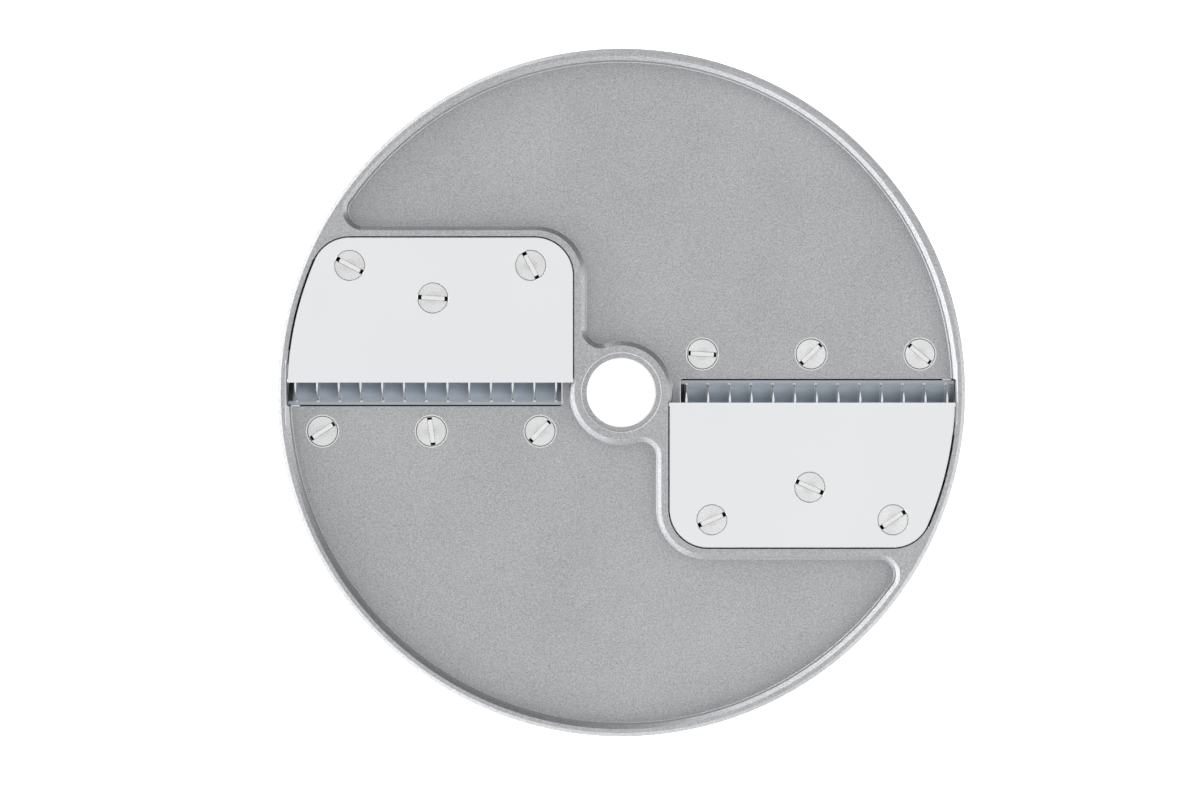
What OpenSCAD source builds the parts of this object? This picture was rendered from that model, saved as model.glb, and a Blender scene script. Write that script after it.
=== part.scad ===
// Julienne cutting disc for a vegetable cutter: an aluminium casting that turns on a
// vertical shaft, with two slicing blades and two combs of upright teeth.
// The bore axis is Z, the underside lies on Z = 0 and the cutting edges lie along X.
// The right half is described, and the left half is the same turned by half a turn.

/* [Disc] */
// Outer diameter of the disc
disc_d = 190; // [184:1:204]
// Slice thickness, from the landing field up to the cutting level
slice_h = 6; // [4:0.5:8]
// Thickness of the casting under the landing field
field_t = 5; // [4:0.5:7]
// Room between the combs and the surface that the disc lies on
foot_h = 2; // [1:0.5:4]
// Width of the flat rim, bevel included, beside the landing field
rim_w = 2.1; // [1.8:0.1:3]
// Width of the bevel round the outer edge
rim_bevel = 1; // [0.4:0.1:1.4]
// Wall thickness of the rim below the landing field
skirt_t = 4.5; // [3.5:0.5:6]
// Chamfer on the lower edges of the casting
foot_chamfer = 0.5; // [0.2:0.1:1]

/* [Raised edges] */
// Width of the chamfer along the top of the walls round the raised parts
edge_bevel = 1.1; // [0.6:0.1:1.4]
// Height of that chamfer
edge_bevel_h = 1.1; // [0.6:0.1:2]
// Radius of the fillet at the foot of the walls
foot_r = 0.4; // [0.2:0.1:0.8]
// Radius of the landing field's inside corners, at the top of the walls
field_corner_r = 5.65; // [4:0.05:8]
// Setback of the raised part's front face behind the cutting edge
front_setback = 0.2; // [0.1:0.05:0.5]

/* [Hub] */
// Diameter of the shaft bore
bore_d = 19; // [16:0.5:20]
// Diameter of the shallow recess round the bore
recess_d = 21.9; // [21:0.1:24]
// Depth of that recess
recess_h = 1; // [0.4:0.1:2]
// Diameter of the raised hub at its top
hub_d = 26; // [25:0.2:28]
// Diameter of the boss under the hub
boss_d = 30; // [26:0.5:32]
// Width of the drive groove across the boss
drive_w = 6.4; // [4:0.2:8]
// Depth of the drive groove
drive_h = 4.5; // [3:0.5:5]

/* [Blades] */
// Distance of the cutting edge from the centre line of the disc
edge_y = 2.76; // [1:0.02:4]
// Width of the blade plate, from its cutting edge to its back
blade_w = 40.14; // [36:0.02:44]
// Distance of the blade plate's inner side from the centre line
blade_x = 13.2; // [13:0.1:15]
// Thickness of the blade plate
blade_t = 2; // [1.5:0.1:2.5]
// Radius of the blade plate's two rear corners
blade_corner_r = 10.7; // [6:0.1:14]
// Gap between the blade plate and its pocket
blade_gap = 0.25; // [0.1:0.05:0.5]
// Width of the bevel ground under the cutting edge
grind_w = 5.54; // [4:0.02:5.6]
// Width of the fine bevel on top of the cutting edge
hone_w = 0.4; // [0.2:0.1:0.8]
// Height of that fine bevel
hone_h = 0.15; // [0.05:0.05:0.3]
// Thickness of the casting under the blade plate
seat_t = 6; // [5:0.5:8]
// Width of the rim left outside the blade pocket
pocket_rim = 2.45; // [2:0.05:4]
// Flat land between the pocket and the raised wall at the inner side
side_land = 1.9; // [1:0.1:2]
// Flat land between the pocket and the raised wall at the back
back_land = 1.65; // [1:0.05:4]

/* [Throats] */
// Distance of the throat's inner end from the centre line
throat_x = 16.3; // [16:0.1:18]
// Rim left outside the throat's outer end
throat_rim = 2.4; // [2:0.1:4]
// Distance of the throat's front wall from the centre line
throat_front = 3.78; // [3:0.01:5]
// Overhang of the cutting edge over the throat's rear wall
throat_back = 5.64; // [5.6:0.02:8]
// Run of the flared rear wall, from the blade down to the open underside
throat_flare = 4; // [2:0.5:6]
// Height of the straight edge between the blade's seat and that flare
seat_edge = 1; // [0.5:0.1:2]
// Radius of the throat's corners
throat_r = 1; // [0.5:0.1:1.5]
// Thickness of the walls round the hollow underside of the raised parts
hollow_wall = 5.6; // [4:0.1:7]
// Radius of the corners of that hollow
hollow_r = 6; // [3:0.5:9]
// Step between the rim's inner wall and the outer wall of that hollow
hollow_step = 1; // [0.5:0.1:3]

/* [Combs] */
// Distance between neighbouring teeth
tooth_pitch = 6; // [4:0.5:12]
// Thickness of a tooth
tooth_t = 0.55; // [0.4:0.05:1]
// Distance of the first tooth from the throat's inner end
tooth_inset = 1.7; // [1:0.1:3]
// Least distance of the last tooth from the throat's outer end
tooth_margin = 2; // [1:0.1:4]
// Drop from the cutting edge to the top of the teeth
tooth_drop = 0.35; // [0.2:0.05:1]
// Distance from the flat strip to the root of a tooth's leading edge
tooth_root = 0.3; // [0.2:0.05:0.6]
// Reach of a tooth's flat top under the cutting edge
tooth_under = 0.45; // [0.2:0.05:0.8]
// Overhang of a tooth's heel past the comb's lower lip
tooth_heel = 0.6; // [0.2:0.1:1]
// Distance from that lip to the rear end of a tooth's foot
tooth_foot = 0.8; // [0.6:0.1:1.5]
// Run of a tooth's slanted leading edge
tooth_lead = 2.3; // [1:0.1:3]
// Length of the ground taper behind the leading edge
tooth_grind = 1.6; // [0.8:0.1:2.5]
// Width left at the ground leading edge
tooth_tip_t = 0.12; // [0.05:0.01:0.3]
// Depth of the slit that holds a tooth
tooth_seat = 0.6; // [0.3:0.1:0.7]
// Clearance of a tooth in its slit, on each side
tooth_fit = 0.02; // [0.01:0.01:0.05]
// Gap between the comb and the throat's walls
comb_gap = 0.3; // [0.1:0.05:0.4]
// Width of the flat strip along the front of the comb
strip_w = 0.83; // [0.5:0.01:1.5]
// How far the rounded apron turns down between the strip and the lip, in degrees
apron_turn = 74; // [40:1:76]
// Distance of the comb's lower lip behind the centre line
lip_y = 4; // [3:0.1:5]
// Thickness of that lip
lip_t = 0.9; // [0.6:0.1:1.5]
// Thickness of the flange that is screwed under the casting
flange_t = 3; // [2.5:0.5:4]
// Width of that flange, from the throat's front wall
flange_w = 13.3; // [12:0.1:16]
// Gap between the flange and the rim
flange_gap = 1; // [0.3:0.1:3]

/* [Screws] */
// Diameter of the screws' plain shanks, which is the mean diameter of their thread
screw_d = 3.5; // [2.5:0.1:4.5]
// Diameter of their countersunk heads
head_d = 8.2; // [7:0.1:9]
// Height of the straight edge of a head
head_edge = 0.25; // [0.1:0.05:0.4]
// Width of the driver slot
slot_w = 1.2; // [0.8:0.1:1.5]
// Depth of the driver slot
slot_h = 1.1; // [0.6:0.1:1.3]
// Gap between a head and the edge of its countersink
head_gap = 0.2; // [0.1:0.05:0.4]
// Clearance of a screw below its head
screw_gap = 0.05; // [0.02:0.01:0.1]
// Distance of the comb's end screws from the throat's inner end
comb_screw_in = 6.2; // [5:0.1:10]
// Distance of the comb's end screws from the throat's outer end
comb_screw_out = 9.8; // [9:0.1:14]
// Distance of the comb's screws from the throat's front wall
comb_screw_front = 6.92; // [6:0.01:8]
// Distance of the blade's rear screws from its back
blade_screw_back = 7.8; // [7:0.1:12]
// Distance of the inner rear screw from the blade's inner side
blade_screw_in = 11.8; // [8:0.1:15]
// Distance of the outer rear screw from the blade's outer side
blade_screw_out = 10.4; // [8:0.1:15]
// Distance of the middle screw from the blade's back
blade_screw_mid = 16.8; // [14:0.1:22]
// Distance of the middle screw from the blade's inner side
blade_screw_mid_x = 38.8; // [30:0.1:45]

/* [Hidden] */
// How far each slot is turned when its screw is tight, from the hub outwards
blade_turns = [[23.5, -24, 34], [-62, -5, -28]];
comb_turns = [[-5, 44, -40], [46, 98, 33]];

$fn = 180;
corner_fn = 96;
screw_fn = 48;
arc_steps = 4;
// How far joined forms overlap, and how far a cutting form runs past a face
lap = 1;
cut = 1;
// Slight angle at which the field's inside corners run into the walls beside them
corner_bite = 8;
// How far a wall runs on into the part that an inside corner is cut from
wall_run_on = 4.5;

// Radii of the casting
disc_r = disc_d / 2;
rim_r = disc_r - rim_w;
skirt_r = disc_r - skirt_t;
hub_r = hub_d / 2;
boss_r = boss_d / 2;

// Levels: under the field, the field, the top, under the blade, and the hollow's ceiling
under_z = foot_h + flange_t;
field_z = under_z + field_t;
disc_h = field_z + slice_h;
blade_z = disc_h - blade_t;
hollow_z = blade_z - seat_t;

// Width in plan of the walls, with chamfer and fillet
wall_w = edge_bevel + foot_r;

// Back, outer radius, outer corner and ground bevel of the blade plate
back_y = edge_y + blade_w;
blade_r = disc_r - pocket_rim - blade_gap;
blade_out_x = sqrt(pow(blade_r - blade_corner_r, 2) - pow(back_y - blade_corner_r, 2));
grind_h = blade_t - hone_h;

// Raised part: inner side, back, its own corner and the field's two inside corners
raised_x = blade_x - blade_gap - side_land;
raised_y = back_y + blade_gap + back_land;
raised_corner_r = blade_corner_r + blade_gap + back_land;
raised_corner = [raised_x + raised_corner_r, raised_corner_r - raised_y];
corner_off = field_corner_r * cos(corner_bite);
hub_corner = [raised_x - corner_off,
              -sqrt(pow(hub_r + corner_off, 2) - pow(raised_x - corner_off, 2))];
rim_corner_y = raised_y + corner_off;
rim_corner = [sqrt(pow(rim_r - corner_off, 2) - pow(rim_corner_y, 2)), -rim_corner_y];

// Throat
throat_end = disc_r - throat_rim;
throat_rear = edge_y + throat_back;
throat_len = throat_end - throat_x;

// Comb: front, ends, upper edge of the apron and top of the lip
comb_front = throat_front - comb_gap;
comb_x0 = throat_x + comb_gap;
comb_x1 = throat_end - comb_gap;
apron_y = comb_front - strip_w;
lip_z = foot_h + lip_t;

// The apron's arc from the strip down to the lip: dip at its start, radius and centre
apron_span = [apron_y + lip_y, field_z - lip_z];
apron_dip = atan2(apron_span.y, apron_span.x) - apron_turn / 2;
apron_r = norm(apron_span) / 2 / sin(apron_turn / 2);
apron_axis = [apron_y + apron_r * sin(apron_dip), field_z - apron_r * cos(apron_dip)];

// Teeth: how many fit, level of their tops and place of their leading edges' roots
tooth_count = 1 + floor((throat_len - tooth_inset - tooth_margin) / tooth_pitch);
tooth_top = disc_h - hone_h - tooth_drop;
root_y = apron_y - tooth_root;

// Places and lengths of the screws
blade_screw_y = back_y - blade_screw_back;
blade_screws = [
    [blade_x + blade_screw_in, -blade_screw_y],
    [blade_x + blade_screw_mid_x, -(back_y - blade_screw_mid)],
    [sqrt(pow(blade_r, 2) - pow(blade_screw_y, 2)) - blade_screw_out, -blade_screw_y]
];
comb_screw_xs = [throat_x + comb_screw_in, throat_end - comb_screw_out];
comb_screw_y = throat_front + comb_screw_front;
comb_screws = [
    [comb_screw_xs[0], comb_screw_y],
    [(comb_screw_xs[0] + comb_screw_xs[1]) / 2, comb_screw_y],
    [comb_screw_xs[1], comb_screw_y]
];
blade_screw_len = blade_t + seat_t;
comb_screw_len = field_t + flange_t;

SIDES = ["right", "left"];

// Puts its children on the right half as they are, or on the left by half a turn
module on_side(side) {
    rotate(side == "left" ? 180 : 0) children();
}

// Extrudes an outline drawn in Y and Z along X
module along_x(x0, x1) {
    translate([x0, 0, 0]) rotate([90, 0, 90]) linear_extrude(x1 - x0) children();
}

// The wall from the top of its chamfer, at zero, out to the end of its foot fillet
wall_line = concat(
    [[0, slice_h], [edge_bevel, slice_h - edge_bevel_h]],
    [for (i = [0:arc_steps]) let (a = 180 + 90 * i / arc_steps)
        [wall_w + foot_r * cos(a), foot_r + foot_r * sin(a)]]
);
wall_section = concat([[-lap, slice_h - lap]], wall_line, [[wall_w, -lap], [-lap, -lap]]);

// Wall along X, with the raised side towards +Y
module straight_wall(length) {
    along_x(0, length) polygon([for (p = wall_section) [-p.x, field_z + p.y]]);
}

// Wall round a corner of a raised part (outward = 1) or of the field (outward = -1)
module corner_wall(radius, start, sweep, outward) {
    rotate_extrude(angle = sweep, start = start, $fn = corner_fn)
        polygon([for (p = wall_section) [radius + outward * p.x, field_z + p.y]]);
}

// Turned blank: boss, skirt, landing field, and the walls of rim and hub
module disc_blank() {
    rotate_extrude() polygon(concat(
        [[0, 0], [boss_r - foot_chamfer, 0], [boss_r, foot_chamfer], [boss_r, under_z],
         [skirt_r, under_z], [skirt_r, foot_chamfer], [skirt_r + foot_chamfer, 0],
         [disc_r - foot_chamfer, 0], [disc_r, foot_chamfer],
         [disc_r, disc_h - rim_bevel], [disc_r - rim_bevel, disc_h]],
        [for (p = wall_line) [rim_r - p.x, field_z + p.y]],
        [for (i = [len(wall_line) - 1:-1:0])
            [hub_r + wall_line[i].x, field_z + wall_line[i].y]],
        [[0, disc_h]]
    ));
}

// Plan of the raised part that carries a blade, to the top of its walls
module raised_plan() {
    front = edge_y + front_setback;
    intersection() {
        circle(r = (disc_r - rim_bevel + rim_r) / 2);
        union() {
            translate([raised_corner.x, -raised_y]) square([disc_r, raised_y - front]);
            translate([raised_x, raised_corner.y]) square([disc_r, -raised_corner.y - front]);
            translate(raised_corner) circle(r = raised_corner_r, $fn = corner_fn);
        }
    }
    difference() {
        polygon([hub_corner, [raised_x + lap, hub_corner.y], [raised_x + lap, -front], [0, 0],
                 hub_corner * (hub_r - lap) / norm(hub_corner)]);
        translate(hub_corner) circle(r = field_corner_r, $fn = corner_fn);
    }
    difference() {
        polygon([rim_corner, [rim_corner.x, lap - raised_y],
                 [sqrt(pow(rim_r + lap, 2) - pow(raised_y - lap, 2)), lap - raised_y],
                 rim_corner * (rim_r + lap) / norm(rim_corner)]);
        translate(rim_corner) circle(r = field_corner_r, $fn = corner_fn);
    }
}

// The raised part, with its walls and the inside corners of the field beside it
module raised_part() {
    hub_bearing = atan2(hub_corner.y, hub_corner.x);
    rim_bearing = atan2(rim_corner.y, rim_corner.x);
    side_top = hub_corner.y + wall_run_on;
    translate([0, 0, under_z]) linear_extrude(disc_h - under_z) raised_plan();
    translate([raised_corner.x, -raised_y, 0])
        straight_wall(rim_corner.x + wall_run_on - raised_corner.x);
    translate([raised_x, side_top, 0]) rotate(-90) straight_wall(side_top - raised_corner.y);
    translate(raised_corner) corner_wall(raised_corner_r, 180, 90, 1);
    translate(hub_corner) corner_wall(field_corner_r, 0, 180 + hub_bearing, -1);
    translate(rim_corner) corner_wall(field_corner_r, rim_bearing, 90 - rim_bearing, -1);
}

// Plan of a blade plate, grown by a gap on its sides and back
module blade_plan(gap) {
    r = blade_corner_r + gap;
    in_corner = [blade_x + blade_corner_r, blade_corner_r - back_y];
    out_corner = [blade_out_x, blade_corner_r - back_y];
    // Factor by which the sector for the round outer side outreaches the disc
    reach = 2;
    translate([in_corner.x, -back_y - gap])
        square([out_corner.x - in_corner.x, back_y + gap]);
    translate([blade_x - gap, in_corner.y]) square([in_corner.x, -in_corner.y]);
    translate(in_corner) circle(r = r, $fn = corner_fn);
    translate(out_corner) circle(r = r, $fn = corner_fn);
    intersection() {
        circle(r = blade_r + gap);
        polygon([out_corner, reach * out_corner, [reach * disc_r, 0], [out_corner.x, 0]]);
    }
}

// Section of a blade plate across its cutting edge
function blade_section(top) = [
    [-back_y - lap, blade_z], [-edge_y - grind_w, blade_z],
    [-edge_y, blade_z + grind_h], [-edge_y - hone_w, top], [-back_y - lap, top]
];

// Section of the blade pocket, whose floor rises under the ground bevel
function pocket_section() =
    let (run = edge_y + grind_w, top = blade_z + run * grind_h / grind_w)
    [[-raised_y - lap, blade_z], [-run, blade_z], [0, top], [0, top + cut],
     [-raised_y - lap, top + cut]];

module pocket() {
    intersection() {
        translate([0, 0, blade_z]) linear_extrude(disc_h) intersection() {
            blade_plan(blade_gap);
            translate([0, -disc_r]) square([disc_r, disc_r - edge_y + blade_gap]);
        }
        along_x(0, disc_r) polygon(pocket_section());
    }
}

// Plan of a throat with rounded corners
module throat_plan() {
    for (x = [throat_x + throat_r, throat_end - throat_r],
         y = [throat_r - throat_rear, throat_front - throat_r])
        translate([x, y]) circle(r = throat_r, $fn = screw_fn);
    translate([throat_x + throat_r, -throat_rear])
        square([throat_len - 2 * throat_r, throat_front + throat_rear]);
    translate([throat_x, throat_r - throat_rear])
        square([throat_len, throat_front + throat_rear - 2 * throat_r]);
}

// Throat through the casting, with its rear wall flared towards the underside
module throat() {
    translate([0, 0, -cut]) linear_extrude(disc_h + 2 * cut) throat_plan();
    along_x(throat_x + throat_r, throat_end - hollow_wall) polygon([
        [-throat_rear, blade_z - seat_edge], [-throat_rear - throat_flare, hollow_z - lap],
        [-throat_rear - throat_flare, -cut], [-throat_rear, -cut]
    ]);
}

// Hollow in the underside below a blade
module hollow() {
    x0 = raised_x + hollow_wall;
    y0 = raised_y - hollow_wall;
    r = skirt_r - hollow_step;
    translate([0, 0, -cut]) linear_extrude(hollow_z + cut) intersection() {
        circle(r = r);
        union() {
            translate([x0 + hollow_r, -y0]) square([r, y0 - throat_rear]);
            translate([x0, hollow_r - y0]) square([r, y0 - hollow_r - throat_rear]);
            translate([x0 + hollow_r, hollow_r - y0]) circle(r = hollow_r, $fn = corner_fn);
        }
    }
}

// Turned form of a countersunk screw, grown by a gap, under a round top of its own radius
module screw_form(length, gap, top_r, top) {
    shank_r = screw_d / 2 + gap;
    cone_h = (head_d - screw_d) / 2;
    cone = [[shank_r, -head_edge - cone_h], [head_d / 2 + gap, -head_edge]];
    step = top_r > cone[1].x ? [[top_r, -head_edge]] : [];
    rotate_extrude($fn = screw_fn)
        polygon(concat([[0, -length], [shank_r, -length]], cone, step, [[top_r, top], [0, top]]));
}

module screw_hole(length) {
    screw_form(length + cut, screw_gap, head_d / 2 + head_gap, cut);
}

module screw(length, turn) {
    difference() {
        screw_form(length, 0, head_d / 2, 0);
        rotate(turn) translate([-head_d, -slot_w / 2, -slot_h])
            cube([2 * head_d, slot_w, slot_h + cut]);
    }
}

module blade_screw_holes() {
    for (p = blade_screws) translate([p.x, p.y, disc_h]) screw_hole(blade_screw_len);
}

module comb_screw_holes() {
    for (p = comb_screws) translate([p.x, p.y, field_z]) screw_hole(comb_screw_len);
}

module shaft_bore() {
    translate([0, 0, -cut]) cylinder(d = bore_d, h = disc_h + 2 * cut);
    translate([0, 0, disc_h - recess_h]) cylinder(d = recess_d, h = recess_h + cut);
    translate([-drive_w / 2, -boss_r - cut, -cut]) cube([drive_w, boss_d + 2 * cut, drive_h + cut]);
}

module disc_body() {
    color("#a6a7aa") difference() {
        union() {
            disc_blank();
            for (s = SIDES) on_side(s) raised_part();
        }
        shaft_bore();
        for (s = SIDES) on_side(s) {
            pocket();
            throat();
            hollow();
            blade_screw_holes();
            comb_screw_holes();
        }
    }
}

module blade(side) {
    color("#e2e4e7") on_side(side) difference() {
        intersection() {
            translate([0, 0, blade_z]) linear_extrude(blade_t) intersection() {
                blade_plan(0);
                translate([0, -disc_r]) square([disc_r, disc_r - edge_y]);
            }
            along_x(0, disc_r) polygon(blade_section(disc_h));
        }
        blade_screw_holes();
    }
}

// Level of the comb's rounded apron
function apron_z(y) = apron_axis.y + sqrt(pow(apron_r, 2) - pow(y - apron_axis.x, 2));

// Level of the blade's ground underside
function grind_z(y) = blade_z + (grind_w + edge_y + y) * grind_h / grind_w;

// Side of a tooth, from its slit in the apron up to the blade
function tooth_section() =
    let (top_y = -edge_y - tooth_under, heel_y = -lip_y - tooth_heel, foot_y = tooth_foot - lip_y)
    [[root_y, apron_z(root_y) - tooth_seat], [root_y, apron_z(root_y)],
     [root_y - tooth_lead, tooth_top], [top_y, tooth_top],
     [heel_y, grind_z(heel_y) - tooth_drop / 2],
     [foot_y, apron_z(foot_y)], [foot_y, apron_z(foot_y) - tooth_seat]];

function tooth_x(k) = throat_x + tooth_inset + (k - 1) * tooth_pitch;

// A tooth, or with a gap the slit that holds it
module tooth_form(gap) {
    along_x(-tooth_t / 2 - gap, tooth_t / 2 + gap) polygon(tooth_section());
}

// Taper ground on both sides along the slanted leading edge
module tooth_grinding() {
    rise = tooth_top - apron_z(root_y);
    taper = tooth_grind / ((tooth_t - tooth_tip_t) / 2);
    tip_y = tooth_tip_t / 2 * taper;
    translate([0, root_y, apron_z(root_y)]) rotate([atan2(tooth_lead, rise), 0, 0])
        linear_extrude(2 * disc_h, center = true)
            for (x = [-tooth_t, tooth_t])
                polygon([[0, tip_y], [x, tip_y - tooth_t * taper], [x, tip_y]]);
}

module tooth(side, k) {
    color("#c9ced4") on_side(side) translate([tooth_x(k), 0, 0]) difference() {
        tooth_form(0);
        tooth_grinding();
    }
}

// What the rounding of the apron takes off the comb's section, in Y and Z
module apron_cut() {
    difference() {
        translate([-lip_y - lap, apron_axis.y])
            square([lip_y + lap + apron_axis.x, field_z + lap - apron_axis.y]);
        translate(apron_axis) circle(r = apron_r);
    }
}

// Comb: the rounded apron that fills the front of the throat, and its flange
module comb(side) {
    flange_y = throat_front + flange_w;
    color("#8d939b") on_side(side) difference() {
        intersection() {
            along_x(comb_x0, comb_x1) difference() {
                polygon([
                    [comb_front, field_z], [-lip_y, field_z], [-lip_y, foot_h],
                    [flange_y, foot_h], [flange_y, under_z], [comb_front, under_z]
                ]);
                apron_cut();
            }
            translate([0, 0, foot_h]) linear_extrude(disc_h) {
                translate([comb_x0, -lip_y]) square([comb_x1 - comb_x0, lip_y + comb_front]);
                intersection() {
                    circle(r = skirt_r - flange_gap);
                    translate([comb_x0, 0]) square([disc_r, flange_y]);
                }
            }
        }
        for (k = [1:tooth_count]) translate([tooth_x(k), 0, 0]) tooth_form(tooth_fit);
        comb_screw_holes();
    }
}

module blade_screw(side, k) {
    p = blade_screws[k - 1];
    turn = blade_turns[side == "left" ? 1 : 0][k - 1];
    color("#dddcd8") on_side(side) translate([p.x, p.y, disc_h]) screw(blade_screw_len, turn);
}

module comb_screw(side, k) {
    p = comb_screws[k - 1];
    turn = comb_turns[side == "left" ? 1 : 0][k - 1];
    color("#dddcd8") on_side(side) translate([p.x, p.y, field_z]) screw(comb_screw_len, turn);
}

disc_body();
for (s = SIDES) {
    blade(s);
    comb(s);
    for (k = [1:tooth_count]) {
        tooth(s, k);
    }
    for (k = [1:len(blade_screws)]) {
        blade_screw(s, k);
    }
    for (k = [1:len(comb_screws)]) {
        comb_screw(s, k);
    }
}
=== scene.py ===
"""Looks and studio for the julienne disc.

The casting and the combs are shown as packed. The plates, teeth and screws are replaced by
pieces of the same form with eased edges, and each tooth gets its braze. The script also makes
the finishes, the floor, the lights and the camera. All lengths are in metres.
"""
import math

import bpy
from mathutils import Matrix, Vector


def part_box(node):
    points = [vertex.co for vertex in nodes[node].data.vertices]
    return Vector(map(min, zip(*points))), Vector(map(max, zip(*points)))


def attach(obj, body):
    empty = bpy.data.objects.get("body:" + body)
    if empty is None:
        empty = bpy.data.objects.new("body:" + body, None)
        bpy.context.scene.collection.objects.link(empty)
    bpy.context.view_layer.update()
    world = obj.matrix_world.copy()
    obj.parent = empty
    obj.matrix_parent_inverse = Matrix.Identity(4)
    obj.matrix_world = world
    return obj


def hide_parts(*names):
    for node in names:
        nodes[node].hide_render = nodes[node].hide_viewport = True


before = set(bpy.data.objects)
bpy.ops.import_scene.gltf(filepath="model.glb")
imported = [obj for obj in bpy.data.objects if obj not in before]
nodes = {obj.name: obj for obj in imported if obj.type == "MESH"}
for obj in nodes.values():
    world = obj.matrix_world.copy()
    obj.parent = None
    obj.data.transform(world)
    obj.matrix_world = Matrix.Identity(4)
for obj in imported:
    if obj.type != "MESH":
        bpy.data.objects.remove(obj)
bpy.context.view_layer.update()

MM = 0.001
SIDES = ("right", "left")

# Levels and sizes of the disc, read from the frame, with the gaps and recess of its construction
top_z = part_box("disc_body")[1].z
blade_lo, blade_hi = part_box("blade_right")
comb_lo, comb_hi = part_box("comb_right")
tooth_lo, tooth_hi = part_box("tooth_right_1")
tooth_x = (tooth_lo.x + tooth_hi.x) / 2
tooth_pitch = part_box("tooth_right_2")[0].x - tooth_lo.x
field_z = comb_hi.z
comb_gap = 0.3 * MM
throat_end = comb_hi.x + comb_gap
edge_y = abs(blade_hi.y)
back_y = abs(blade_lo.y)
blade_r = math.hypot(blade_hi.x, edge_y)
blade_gap = 0.25 * MM
land_r = blade_r + blade_gap
bore_r = 9.5 * MM
recess_r = 10.95 * MM
recess_h = 1.0 * MM

# Screws: radii of the head and shank, straight edge of the head, and driver slot
head_r = 4.1 * MM
shank_r = 1.75 * MM
head_edge = 0.25 * MM
slot_w = 1.2 * MM
slot_h = 1.1 * MM

# The comb's rounded apron, from the flat strip down to the lip
strip_w = 0.83 * MM
comb_front = 3.48 * MM
lip_t = 0.9 * MM
apron_turn = math.radians(74)
apron_y = comb_front - strip_w
apron_run = apron_y - comb_lo.y
apron_drop = field_z - comb_lo.z - lip_t
apron_dip = math.atan2(apron_drop, apron_run) - apron_turn / 2
apron_r = math.hypot(apron_run, apron_drop) / 2 / math.sin(apron_turn / 2)
apron_axis_y = apron_y + apron_r * math.sin(apron_dip)
apron_axis_z = field_z - apron_r * math.cos(apron_dip)

# How near to a level counts as on it, and where the round sides start behind a cutting edge
flush = 0.05 * MM
side_start = edge_y + 9 * MM


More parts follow.
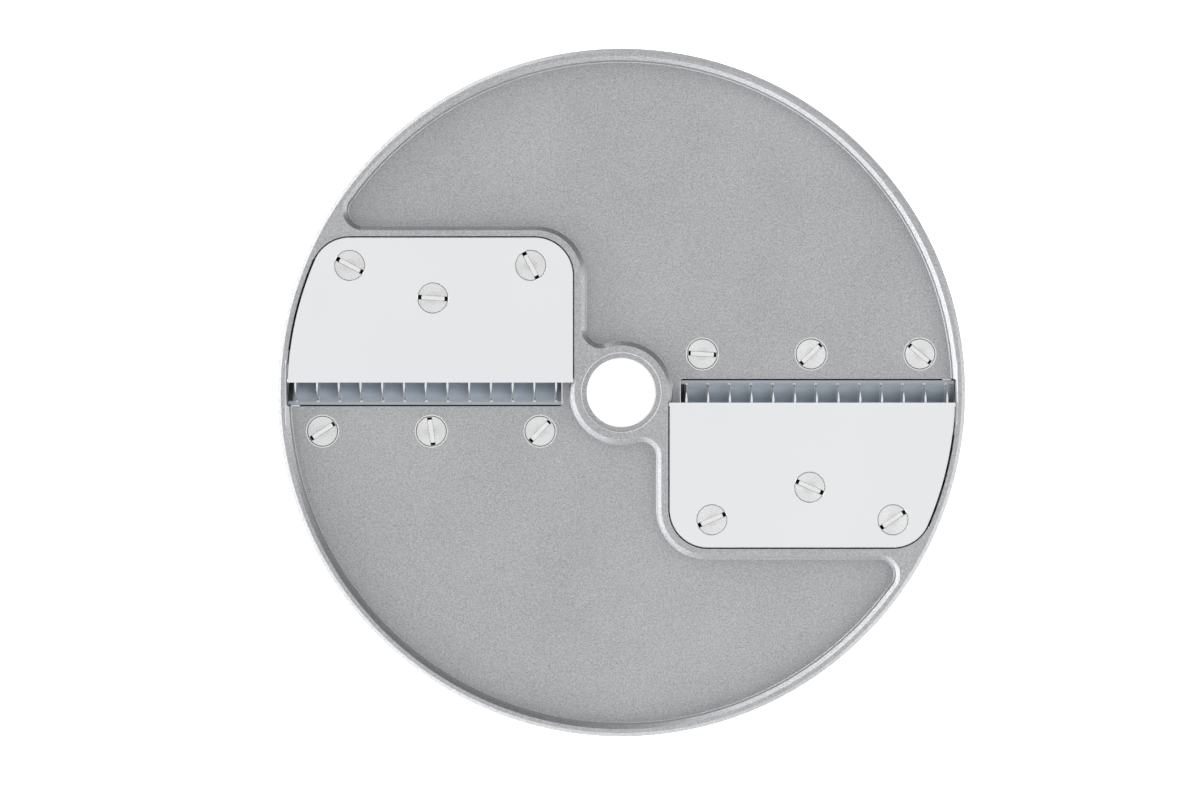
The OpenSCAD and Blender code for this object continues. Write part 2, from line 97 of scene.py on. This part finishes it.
class Value:
    """A socket in a material's nodes. Operators add Math nodes, node() adds any other node."""

    def __init__(self, tree, socket=None):
        self.tree = tree
        self.socket = socket

    def node(self, kind, settings=None, inputs=None, output=0):
        """One output of a new node, its settings set first, then its sockets set or linked."""
        made = self.tree.nodes.new(kind)
        for name, value in (settings or {}).items():
            setattr(made, name, value)
        for name, value in (inputs or {}).items():
            if isinstance(value, Value):
                self.tree.links.new(value.socket, made.inputs[name])
            else:
                made.inputs[name].default_value = value
        return Value(self.tree, made.outputs[output] if made.outputs else None)

    def math(self, operation, *values):
        return self.node("ShaderNodeMath", {"operation": operation}, dict(enumerate(values)))

    def __add__(self, other):
        return self.math("ADD", self, other)

    def __sub__(self, other):
        return self.math("SUBTRACT", self, other)

    def __rsub__(self, other):
        return self.math("SUBTRACT", other, self)

    def __mul__(self, other):
        return self.math("MULTIPLY", self, other)

    def __truediv__(self, other):
        return self.math("DIVIDE", self, other)

    def __gt__(self, other):
        return self.math("GREATER_THAN", self, other)

    def __lt__(self, other):
        return self.math("LESS_THAN", self, other)

    def __abs__(self):
        return self.math("ABSOLUTE", self)

    __radd__ = __add__
    __rmul__ = __mul__

    def top(self, other):
        """The higher of two values. On masks it means either one."""
        return self.math("MAXIMUM", self, other)

    def ramp(self, low, high):
        """0 below low and 1 above high, with a soft step between them."""
        settings = {"interpolation_type": "SMOOTHSTEP"}
        return self.node("ShaderNodeMapRange", settings, {0: self, 1: low, 2: high})

    def mix(self, mask, low, high):
        """The colour low where the mask is 0, and high where it is 1."""
        settings = {"data_type": "RGBA", "clamp_factor": True}
        return self.node("ShaderNodeMix", settings, {0: mask, 6: low, 7: high}, 2)

    def place(self):
        """Object coordinates, in metres."""
        return self.node("ShaderNodeTexCoord", output=3)

    def parts(self):
        """The x, y and z of a vector."""
        split = self.node("ShaderNodeSeparateXYZ", inputs={0: self}).socket.node
        return [Value(self.tree, s) for s in split.outputs]

    def facing(self):
        """How far the surface faces up: 1 for a floor, 0 for a wall and -1 for an underside."""
        return self.node("ShaderNodeNewGeometry", output=3).parts()[2]

    def cones(self):
        """1 on slopes such as a countersink's, and 0 on floors and walls."""
        up = self.facing()
        return (up > 0.4) * (up < 0.9)

    def radius(self):
        """Distance in plan from the axis."""
        x, y, _ = self.parts()
        return self.math("SQRT", x * x + y * y)

    def side(self):
        """1 on the right half of the disc, and -1 on the left half."""
        return (self.parts()[0] > 0) * 2 - 1

    def ahead(self):
        """Distance from the centre line, counted the way that this half's blade moves."""
        return self.parts()[1] * self.side()

    def to_screws(self, kind):
        """Distance in plan to the nearest screw of a kind."""
        out, ahead = abs(self.parts()[0]), self.ahead()
        nearest = []
        for k in (1, 2, 3):
            axis = sum(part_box(f"{kind}_screw_right_{k}"), Vector()) / 2
            away_x, away_y = out - axis.x, ahead - axis.y
            nearest.append(self.math("SQRT", away_x * away_x + away_y * away_y))
        return self.math("MINIMUM", self.math("MINIMUM", nearest[0], nearest[1]), nearest[2])

    def scaled(self, x, y, z):
        """Coordinates that draw a pattern out along each axis whose factor is under 1."""
        return self.node("ShaderNodeMapping", inputs={0: self, 3: (x, y, z)})

    def noise(self, grain, detail=2.0, rough=0.5):
        """Noise from 0 to 1 whose grains are about this long."""
        inputs = {"Vector": self, "Scale": 1 / grain, "Detail": detail, "Roughness": rough}
        return self.node("ShaderNodeTexNoise", inputs=inputs)

    def bump(self, height, distance, strength=1.0, normal=None):
        """A normal that follows a height from 0 to 1, which stands for this distance."""
        inputs = {"Height": height, "Distance": distance, "Strength": strength}
        if normal:
            inputs["Normal"] = normal
        return self.node("ShaderNodeBump", inputs=inputs)

    def crevice_shade(self, reach):
        """Painted shade in gaps: 1 far down a narrow gap, and 0 in the open or at the foot of a
        wall.
        """
        sky = self.node("ShaderNodeAmbientOcclusion", {"samples": 8}, {"Distance": reach}, 1)
        return 1 - sky.ramp(0.14, 0.47)

    def edges(self, radius):
        """A normal that rounds the edges of a solid."""
        return self.node("ShaderNodeBevel", {"samples": 6}, {"Radius": radius})


def finish(name, colour, varied):
    """A metal whose shader takes what varied(tree) makes of its sockets."""
    made = bpy.data.materials.new(name)
    made.use_nodes = True
    shader = made.node_tree.nodes["Principled BSDF"]
    shader.inputs["Base Color"].default_value = (*colour, 1)
    shader.inputs["Metallic"].default_value = 1.0
    for key, value in varied(Value(made.node_tree)).items():
        made.node_tree.links.new(value.socket, shader.inputs[key])
    return made


def rgb(*values):
    """A colour written in 0 to 255, as linear light."""
    return tuple(((v / 255 + 0.055) / 1.055) ** 2.4 for v in values)


def grey(*values):
    """The same, with the alpha that a colour socket holds."""
    return (*rgb(*values), 1)


# Painted shade: the near-black painted into gaps and dark lines, and how far a gap's painted shade
# reaches
PAINTED_SHADE = grey(10, 11, 12)
gap_reach = 1.1 * MM


def throat_ends(place):
    """1 on the walls at the two ends of each throat, where a highlight is painted."""
    x, y, _ = place.parts()
    reach = 9 * MM
    return (abs(abs(x) - throat_end) < 0.08 * MM) * (abs(y) < reach)


def highlight_faces(place):
    """Painted highlight: 1 in the bore, on the edge of its recess, and on the rims of the combs'
    screw holes.
    """
    z = place.parts()[2]
    radius = place.radius()
    half_w = 0.13 * MM
    rim_r = head_r + 0.34 * MM
    bore_wall = radius < bore_r + 0.1 * MM
    recess_edge = (abs(radius - recess_r) < half_w) * (z > top_z - recess_h * 0.9)
    hole_rims = (abs(place.to_screws("comb") - rim_r) < half_w) * (abs(z - field_z) < flush)
    return bore_wall.top(recess_edge).top(hole_rims)


def casting_shade(tree, place):
    """1 where shade is painted on the casting: its pocket walls, countersinks, gaps, and a line
    beside a plate's round side.
    """
    x, y, z = place.parts()
    radius = place.radius()
    ahead = place.ahead()
    by_plate = (abs(x) > blade_lo.x - 2 * blade_gap) * (ahead > blade_lo.y - 2 * blade_gap)
    by_plate = by_plate * (ahead < blade_hi.y) * (radius < land_r + blade_gap)
    # Painted shade on the pocket walls beside the plates, and on the countersinks below the field
    pocket_wall_shade = (abs(tree.facing()) < 0.2) * (z > blade_lo.z) * by_plate
    countersink = tree.cones() * (z < field_z - 0.55 * MM)
    # Painted shade in a thin line on the casting, beside each plate's round side
    seam_shade_w = 0.15 * MM
    seam_shade = (radius > land_r) * (radius < land_r + seam_shade_w) * (x * y < 0) * (z > top_z - flush)
    seam_shade = seam_shade * (abs(y) > side_start) * (abs(y) < back_y - 6 * MM)
    above_foot = z > 0.2 * MM
    # The gaps above the foot get painted shade as well
    return (tree.crevice_shade(gap_reach) * above_foot).top(pocket_wall_shade).top(countersink).top(seam_shade)


def casting(tree):
    """Bead-blasted aluminium, a little smoother on its slopes, painted bright as a highlight on
    some smoother faces, and painted dark as shade in its gaps.
    """
    place = tree.place()
    speckle = place.noise(0.36 * MM, 3, 0.7)
    cloud = place.noise(26 * MM, 3)
    tone = (speckle - 0.5) * 3.0 + (cloud - 0.5) * 0.3 + 0.5
    colour = tree.mix(tone, grey(151, 152, 154), grey(195, 196, 198))
    # Painted highlight: the throats' end walls are painted pale and made hardly metallic, and get
    # no painted shade
    end_wall_highlight = throat_ends(place)
    # Painted highlight: these faces are painted near-white, and are smoother as well
    smooth_highlight = end_wall_highlight.top(highlight_faces(place))
    colour = tree.mix(smooth_highlight, colour, grey(234, 235, 237))
    up = tree.facing()
    slopes = (1 - up.ramp(0.8, 0.985)) * (up > 0.1)
    rough = 0.5 - slopes * 0.13 + (cloud - 0.5) * 0.1
    return {
        "Base Color": tree.mix(casting_shade(tree, place) * (1 - end_wall_highlight), colour, PAINTED_SHADE),
        "Roughness": rough * (1 - smooth_highlight) + smooth_highlight * 0.22,
        "Metallic": 1 - end_wall_highlight * 0.9,
        "Normal": tree.bump(speckle, 0.06 * MM, 0.6, tree.edges(0.12 * MM)),
    }


def plate_outline_shade(tree, place):
    """Painted shade on a plate: 1 on its sides and along them on its top, but not at its screws or
    cutting edge.
    """
    _, y, z = place.parts()
    up = tree.facing()
    eased = (up < 0.95) * (z > top_z - 0.19 * MM)
    round_side = (place.radius() > blade_r - 0.2 * MM) * (abs(y) > side_start)
    near_side = (tree.edges(0.5 * MM).parts()[2] < 0.97) * (z > top_z - flush)
    behind_edge = abs(y) > edge_y + 1 * MM
    off_screws = place.to_screws("blade") > head_r + 0.8 * MM
    return eased.top(abs(up) < 0.6).top(round_side).top(near_side) * behind_edge * off_screws


def plate_steel(tree):
    """Fine ground steel, with faint grinding lines along the edge, and painted shade in its gaps,
    countersinks and outline.
    """
    place = tree.place()
    lines = place.scaled(0.02, 1, 1).noise(0.12 * MM, 2, 0.6)
    cloud = place.noise(40 * MM, 2)
    tone = (lines - 0.5) * 0.12 + (cloud - 0.5) * 0.5 + 0.5
    colour = tree.mix(tone, grey(236, 237, 239), grey(244, 245, 246))
    # Painted shade on the countersinks, in the gaps and along the outline
    countersink = tree.cones() * (place.parts()[2] < top_z - 0.2 * MM)
    gap = tree.crevice_shade(gap_reach).top(countersink).top(plate_outline_shade(tree, place))
    return {
        "Base Color": tree.mix(gap, colour, PAINTED_SHADE),
        "Roughness": 0.24 + (lines - 0.5) * 0.06 + (cloud - 0.5) * 0.04,
        "Normal": tree.bump(lines, 0.006 * MM, 0.5),
    }


def comb_end_shade(place):
    """How much shade is painted on the half cells at a comb's two ends."""
    x = place.parts()[0]
    comb_w = comb_hi.x - comb_lo.x
    from_left = x + comb_hi.x - (x > 0) * (comb_lo.x + comb_hi.x)
    left_end = 1 - from_left.ramp(1.0 * MM, 1.7 * MM)
    right_end = from_left.ramp(comb_w - 1.6 * MM, comb_w - 0.9 * MM)
    return (left_end * 0.85).top(right_end * 0.4) * (place.ahead() < apron_y - 0.3 * MM)


def comb_steel(tree):
    """Rolled steel, painted paler down the apron as painted light, and painted darker towards one
    side of each cell as painted shade.
    """
    place = tree.place()
    lines = place.scaled(1, 0.05, 0.05).noise(0.3 * MM, 2, 0.6)
    cloud = place.noise(12 * MM, 2)
    tone = (lines - 0.5) * 0.15 + (cloud - 0.5) * 0.3 + 0.5
    x, y, z = place.parts()
    ahead = place.ahead()
    across = tree.math("FRACT", (x - place.side() * tooth_x) / tooth_pitch)
    on_top = tree.facing() > 0.05
    # Painted light: the apron is painted paler towards the lip, where it is rougher too
    lit_apron = (1 - ahead.ramp(apron_y - 2.5 * MM, apron_y - 0.2 * MM)) * on_top
    # Painted shade: far under the blade the apron is painted a darker blue-grey
    under_blade_shade = (1 - ahead.ramp(-2.9 * MM, -0.6 * MM)) * on_top
    # Painted shade: each cell is painted darker towards one side
    cell_side_shade = across.ramp(0.3, 1) * lit_apron * 0.3
    colour = tree.mix(tone, grey(166, 172, 179), grey(178, 184, 190))
    colour = tree.mix(lit_apron, colour, grey(230, 240, 249))
    colour = tree.mix(under_blade_shade, colour, grey(190, 204, 218))
    colour = tree.mix(cell_side_shade, colour, grey(88, 98, 107))
    # Painted shade on the half cells at the comb's two ends
    colour = tree.mix(comb_end_shade(place) * on_top, colour, PAINTED_SHADE)
    # Painted shade along the comb's front edge and in its gaps
    front_edge_shade = (abs(y) > comb_front - 0.1 * MM) * (z > field_z - 1 * MM)
    return {
        "Base Color": tree.mix(tree.crevice_shade(0.8 * MM).top(front_edge_shade), colour, PAINTED_SHADE),
        "Roughness": 0.5 + lit_apron * 0.15 + (cloud - 0.5) * 0.08,
        "Normal": tree.bump(lines, 0.004 * MM, 0.3, tree.edges(0.08 * MM)),
    }


def tooth_steel(tree):
    """Ground steel, with fine upright lines."""
    place = tree.place()
    lines = place.scaled(0.1, 0.1, 1).noise(0.1 * MM, 2)
    return {
        "Base Color": tree.mix(lines, grey(222, 225, 229), grey(240, 242, 244)),
        "Roughness": 0.26 + (lines - 0.5) * 0.1,
        "Normal": tree.bump(lines, 0.008 * MM, 0.4),
    }


def braze_metal(tree):
    """Silver braze, frozen in fine ripples."""
    place = tree.place()
    ripple = place.noise(0.25 * MM, 2)
    return {
        "Base Color": tree.mix(ripple, grey(222, 226, 230), grey(240, 242, 245)),
        "Roughness": 0.6 + (ripple - 0.5) * 0.12,
        "Normal": tree.bump(ripple, 0.03 * MM, 0.5),
    }


def screw_steel(tree):
    """Turned steel: rings round the axis of each screw, a centre painted darker as a painted
    reflection and a slot painted bright as a painted highlight.

    The screw's "turned" attribute holds coordinates from the middle of its face.
    """
    here = tree.node("ShaderNodeAttribute", {"attribute_name": "turned"}, output=1)
    _, y, z = here.parts()
    radius = here.radius()
    ring_w = 0.13 * MM
    rings = tree.math("SINE", radius * (2 * math.pi / ring_w))
    speck = tree.place().noise(0.5 * MM, 2)
    face = z > -0.2 * MM
    tone = (speck - 0.5) * 0.3 + rings * face * 0.1 + 0.5
    colour = tree.mix(tone, grey(223, 224, 224), grey(233, 233, 232))
    # Painted reflection: the middle of the face is painted darker
    centre = (1 - radius.ramp(1.5 * MM, 2.1 * MM)) * face
    colour = tree.mix(centre * 0.5, colour, grey(208, 209, 209))
    # Painted highlight: the inside of the slot is painted near-white
    colour = tree.mix(1 - face, colour, grey(244, 244, 243))
    # Painted shade: a dark ring at the head's edge, dark slot edges, and the gaps
    rim_shade = (radius > head_r - 0.09 * MM) * 0.4
    slot_edge_shade = (abs(abs(y) - slot_w / 2 - 0.03 * MM) < 0.09 * MM) * face * 0.5
    gap = tree.crevice_shade(1.0 * MM).top(rim_shade).top(slot_edge_shade)
    return {
        "Base Color": tree.mix(gap, colour, PAINTED_SHADE),
        "Roughness": 0.28 + (speck - 0.5) * 0.1,
        "Normal": tree.bump(rings * face, 0.006 * MM),
    }


finishes = {
    "disc": finish("bead_blasted_aluminium", rgb(165, 166, 168), casting),
    "blade": finish("ground_blade_steel", rgb(230, 231, 233), plate_steel),
    "comb": finish("rolled_comb_steel", rgb(170, 177, 184), comb_steel),
    "tooth": finish("sharpened_tooth_steel", rgb(218, 221, 225), tooth_steel),
    "braze": finish("silver_braze", rgb(212, 214, 217), braze_metal),
    "screw": finish("turned_screw_steel", rgb(229, 228, 225), screw_steel),
}
for name, node in nodes.items():
    kind = "screw" if "screw" in name else name.split("_")[0]
    for slot in node.material_slots:
        slot.material = finishes[kind]


def pick(piece):
    """Select this piece alone, and make it the active one."""
    bpy.ops.object.select_all(action="DESELECT")
    piece.select_set(True)
    bpy.context.view_layer.objects.active = piece


def pick_faces(piece, chosen):
    """Go into edit mode with the faces selected that chosen(centre, normal) names."""
    pick(piece)
    bpy.ops.object.mode_set(mode="EDIT")
    bpy.ops.mesh.select_mode(type="FACE")
    bpy.ops.mesh.select_all(action="DESELECT")
    bpy.ops.object.mode_set(mode="OBJECT")
    for face in piece.data.polygons:
        face.select = chosen(face.center, face.normal)
    bpy.ops.object.mode_set(mode="EDIT")


def apply_modifier(piece, kind, **settings):
    """Add a modifier to a piece, and apply it."""
    pick(piece)
    modifier = piece.modifiers.new(kind.lower(), kind)
    for name, value in settings.items():
        setattr(modifier, name, value)
    bpy.ops.object.modifier_apply(modifier=modifier.name)


def ease_edges(piece, width):
    """Round the sharp edges, and shade the piece smooth with its flat faces kept flat."""
    sharp = {"limit_method": "ANGLE", "angle_limit": math.radians(32)}
    apply_modifier(piece, "BEVEL", width=width, segments=2, **sharp)
    bpy.ops.object.shade_smooth_by_angle(angle=math.radians(60))
    apply_modifier(piece, "WEIGHTED_NORMAL", keep_sharp=True)


def merged_copy(node, name):
    """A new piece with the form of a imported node, its loose triangles joined."""
    piece = bpy.data.objects.new(name, nodes[node].data.copy())
    bpy.context.scene.collection.objects.link(piece)
    pick(piece)
    bpy.ops.mesh.customdata_custom_splitnormals_clear()
    bpy.ops.object.mode_set(mode="EDIT")
    bpy.ops.mesh.select_all(action="SELECT")
    bpy.ops.mesh.remove_doubles(threshold=0.001 * MM)
    bpy.ops.mesh.dissolve_limited(angle_limit=math.radians(0.5))
    bpy.ops.mesh.normals_make_consistent(inside=False)
    bpy.ops.object.mode_set(mode="OBJECT")
    return piece


def set_in(model, name, node, kind, move):
    """A copy of a modelled piece, moved to its place in its mesh, which may stand for a node."""
    piece = bpy.data.objects.new(name, model.data.copy())
    bpy.context.scene.collection.objects.link(piece)
    piece.data.transform(move)
    piece.data.materials.clear()
    piece.data.materials.append(finishes[kind])
    if node:
        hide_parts(node)
    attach(piece, "root")
    return piece


def model_screw(length):
    """A slotted countersunk screw with its face at the origin: head, cone, shank and tip."""
    bpy.ops.object.select_all(action="DESELECT")
    bpy.ops.mesh.primitive_cylinder_add(
        vertices=64, radius=head_r, depth=head_edge, location=(0, 0, -head_edge / 2))
    screw = bpy.context.object
    bpy.ops.object.transform_apply(location=True, rotation=False, scale=False)
    pick_faces(screw, lambda centre, normal: normal.z < -0.9)
    cone_h = head_r - shank_r
    tip_h = 0.35 * MM
    shank_h = length - head_edge - cone_h - tip_h
    for depth, scale in ((cone_h, shank_r / head_r), (shank_h, 1), (tip_h, 1 - tip_h / shank_r)):
        bpy.ops.mesh.extrude_region_move(TRANSFORM_OT_translate={"value": (0, 0, -depth)})
        bpy.ops.transform.resize(value=(scale, scale, 1), center_override=(0, 0, 0))
    bpy.ops.object.mode_set(mode="OBJECT")
    bpy.ops.object.select_all(action="DESELECT")
    bpy.ops.mesh.primitive_cube_add(size=1, scale=(3 * head_r, slot_w, 2 * slot_h))
    cutter = bpy.context.object
    apply_modifier(screw, "BOOLEAN", operation="DIFFERENCE", object=cutter, solver="EXACT")
    bpy.data.objects.remove(cutter)
    ease_edges(screw, 0.07 * MM)
    turned = screw.data.attributes.new("turned", "FLOAT_VECTOR", "POINT")
    for vertex, here in zip(screw.data.vertices, turned.data):
        here.vector = vertex.co
    return screw


def slot_turn(node, centre, face_z):
    """The direction in plan of a packed screw's slot, from the corners of the slot's floor."""
    floor_z = face_z - slot_h
    places = [vertex.co for vertex in nodes[node].data.vertices]
    corners = [place - centre for place in places if abs(place.z - floor_z) < 0.02 * MM]
    along = sum(2 * c.x * c.y for c in corners)
    across = sum(c.x * c.x - c.y * c.y for c in corners)
    return math.atan2(along, across) / 2


def add_screws():
    """A turned screw for each packed one, with its slot the same way round."""
    for kind in ("blade", "comb"):
        lo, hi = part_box(kind + "_screw_right_1")
        model = model_screw(hi.z - lo.z)
        for side in SIDES:
            for k in (1, 2, 3):
                node = f"{kind}_screw_{side}_{k}"
                lo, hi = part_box(node)
                centre = (lo + hi) / 2
                place = Matrix.Translation((centre.x, centre.y, hi.z))
                turn = Matrix.Rotation(slot_turn(node, centre, hi.z), 4, "Z")
                set_in(model, f"turned_{node}", node, "screw", place @ turn)
        bpy.data.objects.remove(model)


def add_plates():
    """Both blade plates, with their sharp sides eased."""
    for side in SIDES:
        model = merged_copy(f"blade_{side}", "plate_model")
        ease_edges(model, 0.05 * MM)
        set_in(model, f"plate_{side}", f"blade_{side}", "blade", Matrix.Identity(4))
        bpy.data.objects.remove(model)


def apron_point(angle, x):
    """A point on the apron, at an angle from straight up towards the lip."""
    y = apron_axis_y - apron_r * math.sin(angle)
    return Vector((x, y, apron_axis_z + apron_r * math.cos(angle)))


def model_braze():
    """Fillets of braze on both sides of a tooth's foot, and a bead at the root of its lead."""
    fillet_w = 0.2 * MM
    sunk = 0.04 * MM
    hollow = 0.6
    short_of_lip = 0.8 * MM
    bead_r = 0.38 * MM
    side_x = (tooth_hi.x - tooth_lo.x) / 2 - sunk
    start = math.asin((apron_axis_y - tooth_hi.y) / apron_r)
    end = math.asin((apron_axis_y - comb_lo.y - short_of_lip) / apron_r)
    out = Vector((0, -math.sin(start), math.cos(start)))
    parts = []
    for way in (-1, 1):
        inner = apron_point(start, tooth_x + way * side_x) - out * sunk
        middle = inner + (out + Vector((way, 0, 0))) * fillet_w / 2
        bpy.ops.object.select_all(action="DESELECT")
        bpy.ops.mesh.primitive_plane_add(
            size=fillet_w, location=middle, rotation=(start + math.pi / 2, 0, 0))
        fillet = bpy.context.object
        bpy.ops.object.transform_apply(location=True, rotation=True, scale=False)
        far = max(fillet.data.vertices, key=lambda v: (v.co - inner).length)
        far.co = far.co.lerp(inner, hollow)
        bpy.ops.object.mode_set(mode="EDIT")
        bpy.ops.mesh.select_all(action="SELECT")
        bpy.ops.mesh.spin(steps=14, angle=start - end, axis=(1, 0, 0),
                          center=(0, apron_axis_y, apron_axis_z))
        bpy.ops.mesh.select_all(action="SELECT")
        bpy.ops.mesh.remove_doubles(threshold=0.001 * MM)
        bpy.ops.mesh.normals_make_consistent(inside=False)
        bpy.ops.object.mode_set(mode="OBJECT")
        parts.append(fillet)
    bpy.ops.object.select_all(action="DESELECT")
    bpy.ops.mesh.primitive_uv_sphere_add(
        segments=20, ring_count=10, radius=bead_r, location=apron_point(start, tooth_x),
        scale=(1.0, 0.6, 0.2), rotation=(start, 0, 0))
    parts.append(bpy.context.object)
    bpy.ops.object.transform_apply(location=True, rotation=True, scale=True)
    pick(parts[0])
    for part in parts[1:]:
        part.select_set(True)
    bpy.ops.object.join()
    bpy.ops.object.shade_smooth_by_angle(angle=math.radians(50))
    return parts[0]


def add_teeth():
    """Each tooth with eased edges and its braze, modelled once and set in along the comb."""
    model = merged_copy("tooth_right_1", "tooth_model")
    ease_edges(model, 0.04 * MM)
    braze = model_braze()
    count = sum(name.startswith("tooth_right_") for name in nodes)
    for side, half_turn in zip(SIDES, (0, math.pi)):
        for k in range(1, count + 1):
            node = f"tooth_{side}_{k}"
            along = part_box(f"tooth_right_{k}")[0].x - tooth_lo.x
            move = Matrix.Rotation(half_turn, 4, "Z") @ Matrix.Translation((along, 0, 0))
            set_in(model, f"ground_{node}", node, "tooth", move)
            set_in(braze, f"braze_{side}_{k}", None, "braze", move)
    bpy.data.objects.remove(model)
    bpy.data.objects.remove(braze)


add_plates()
add_screws()
add_teeth()


# Camera: its height over the disc, and the scale and place of the disc in the photo
view_far = 1.29
px_per_mm = 3.624
photo_w, photo_h = 1200, 800
axis_px = (621.3, 392.55)
sensor_w = 36.0

# Boxes of light: width, height, bearing, rise, distance and radiance, with angles in degrees
softboxes = {
    "overhead": (2.6, 3.3, 0, 82, 2.2, 0.62),
    "upper_front": (2.6, 1.1, 270, 47, 2.2, 0.6),
    "upper_back": (2.6, 1.1, 90, 47, 2.2, 0.6),
    "upper_right": (3.2, 1.1, 345, 47, 2.2, 0.6),
    "left": (2.4, 1.25, 180, 19, 1.8, 3.0),
    "front_left": (1.3, 1.25, 235, 19, 1.8, 2.4),
    "front": (1.3, 1.25, 275, 19, 1.8, 1.3),
    "right": (2.4, 1.25, 338, 19, 1.8, 1.8),
    "back_left": (1.5, 1.25, 126, 19, 1.8, 2.3),
}


def floor_finish():
    """White paper that keeps the disc's shadow, and is clear when seen from below."""
    made = bpy.data.materials.new("white_paper")
    made.use_nodes = True
    tree = made.node_tree
    tree.nodes.clear()
    start = Value(tree)
    rays = start.node("ShaderNodeLightPath").socket.node.outputs
    camera_ray = Value(tree, rays["Is Camera Ray"])
    glass_ray = Value(tree, rays["Is Transmission Ray"])
    gloss_ray = Value(tree, rays["Is Glossy Ray"])
    seen = camera_ray.top(glass_ray).top(gloss_ray * 0.5)
    below = start.node("ShaderNodeNewGeometry", output=6)
    paper = start.node("ShaderNodeBsdfDiffuse", inputs={"Color": (0.8, 0.8, 0.8, 1)})
    glow = start.node("ShaderNodeEmission", inputs={"Color": (1, 1, 1, 1), "Strength": seen * 0.72})
    lit = start.node("ShaderNodeAddShader", inputs={0: paper, 1: glow})
    clear = start.node("ShaderNodeBsdfTransparent")
    shown = start.node("ShaderNodeMixShader", inputs={0: below, 1: lit, 2: clear})
    start.node("ShaderNodeOutputMaterial", inputs={"Surface": shown})
    return made


def add_floor():
    """A wide sheet of white paper under the disc."""
    bpy.ops.object.select_all(action="DESELECT")
    bpy.ops.mesh.primitive_plane_add(size=30)
    floor = bpy.context.object
    floor.name = "floor"
    floor.data.materials.append(floor_finish())


def add_world():
    """A dim grey room that the camera sees as white."""
    world = bpy.data.worlds.new("studio")
    bpy.context.scene.world = world
    world.use_nodes = True
    tree = world.node_tree
    tree.nodes.clear()
    start = Value(tree)
    ray = start.node("ShaderNodeLightPath", output=0)
    light = start.mix(ray, (0.28, 0.28, 0.285, 1), (1, 1, 1, 1))
    back = start.node("ShaderNodeBackground", inputs={"Color": light, "Strength": 1.0})
    start.node("ShaderNodeOutputWorld", inputs={"Surface": back})


def add_softbox(name, width, height, bearing, rise, away, radiance):
    """A box of light that faces the disc."""
    data = bpy.data.lights.new(name, "AREA")
    data.shape = "RECTANGLE"
    data.size, data.size_y = width, height
    data.energy = radiance * math.pi * width * height
    box = bpy.data.objects.new(name, data)
    bpy.context.scene.collection.objects.link(box)
    turn, lift = math.radians(bearing), math.radians(rise)
    flat = away * math.cos(lift)
    box.location = (flat * math.cos(turn), flat * math.sin(turn), away * math.sin(lift))
    box.rotation_euler = (-box.location).to_track_quat("-Z", "Y").to_euler()
    box.visible_camera = False


def add_camera():
    """A camera straight above, as the photo's."""
    data = bpy.data.cameras.new("camera")
    data.sensor_width = sensor_w
    data.lens = px_per_mm * view_far / MM / photo_w * sensor_w
    data.clip_start, data.clip_end = 0.01, 50
    camera = bpy.data.objects.new("camera", data)
    bpy.context.scene.collection.objects.link(camera)
    off_x = (photo_w / 2 - axis_px[0]) / px_per_mm * MM
    off_y = (axis_px[1] - photo_h / 2) / px_per_mm * MM
    camera.location = (off_x, off_y, top_z + view_far)
    bpy.context.scene.camera = camera


add_floor()
add_world()
for name, values in softboxes.items():
    add_softbox(name, *values)
add_camera()
bpy.context.scene.view_settings.view_transform = "Standard"
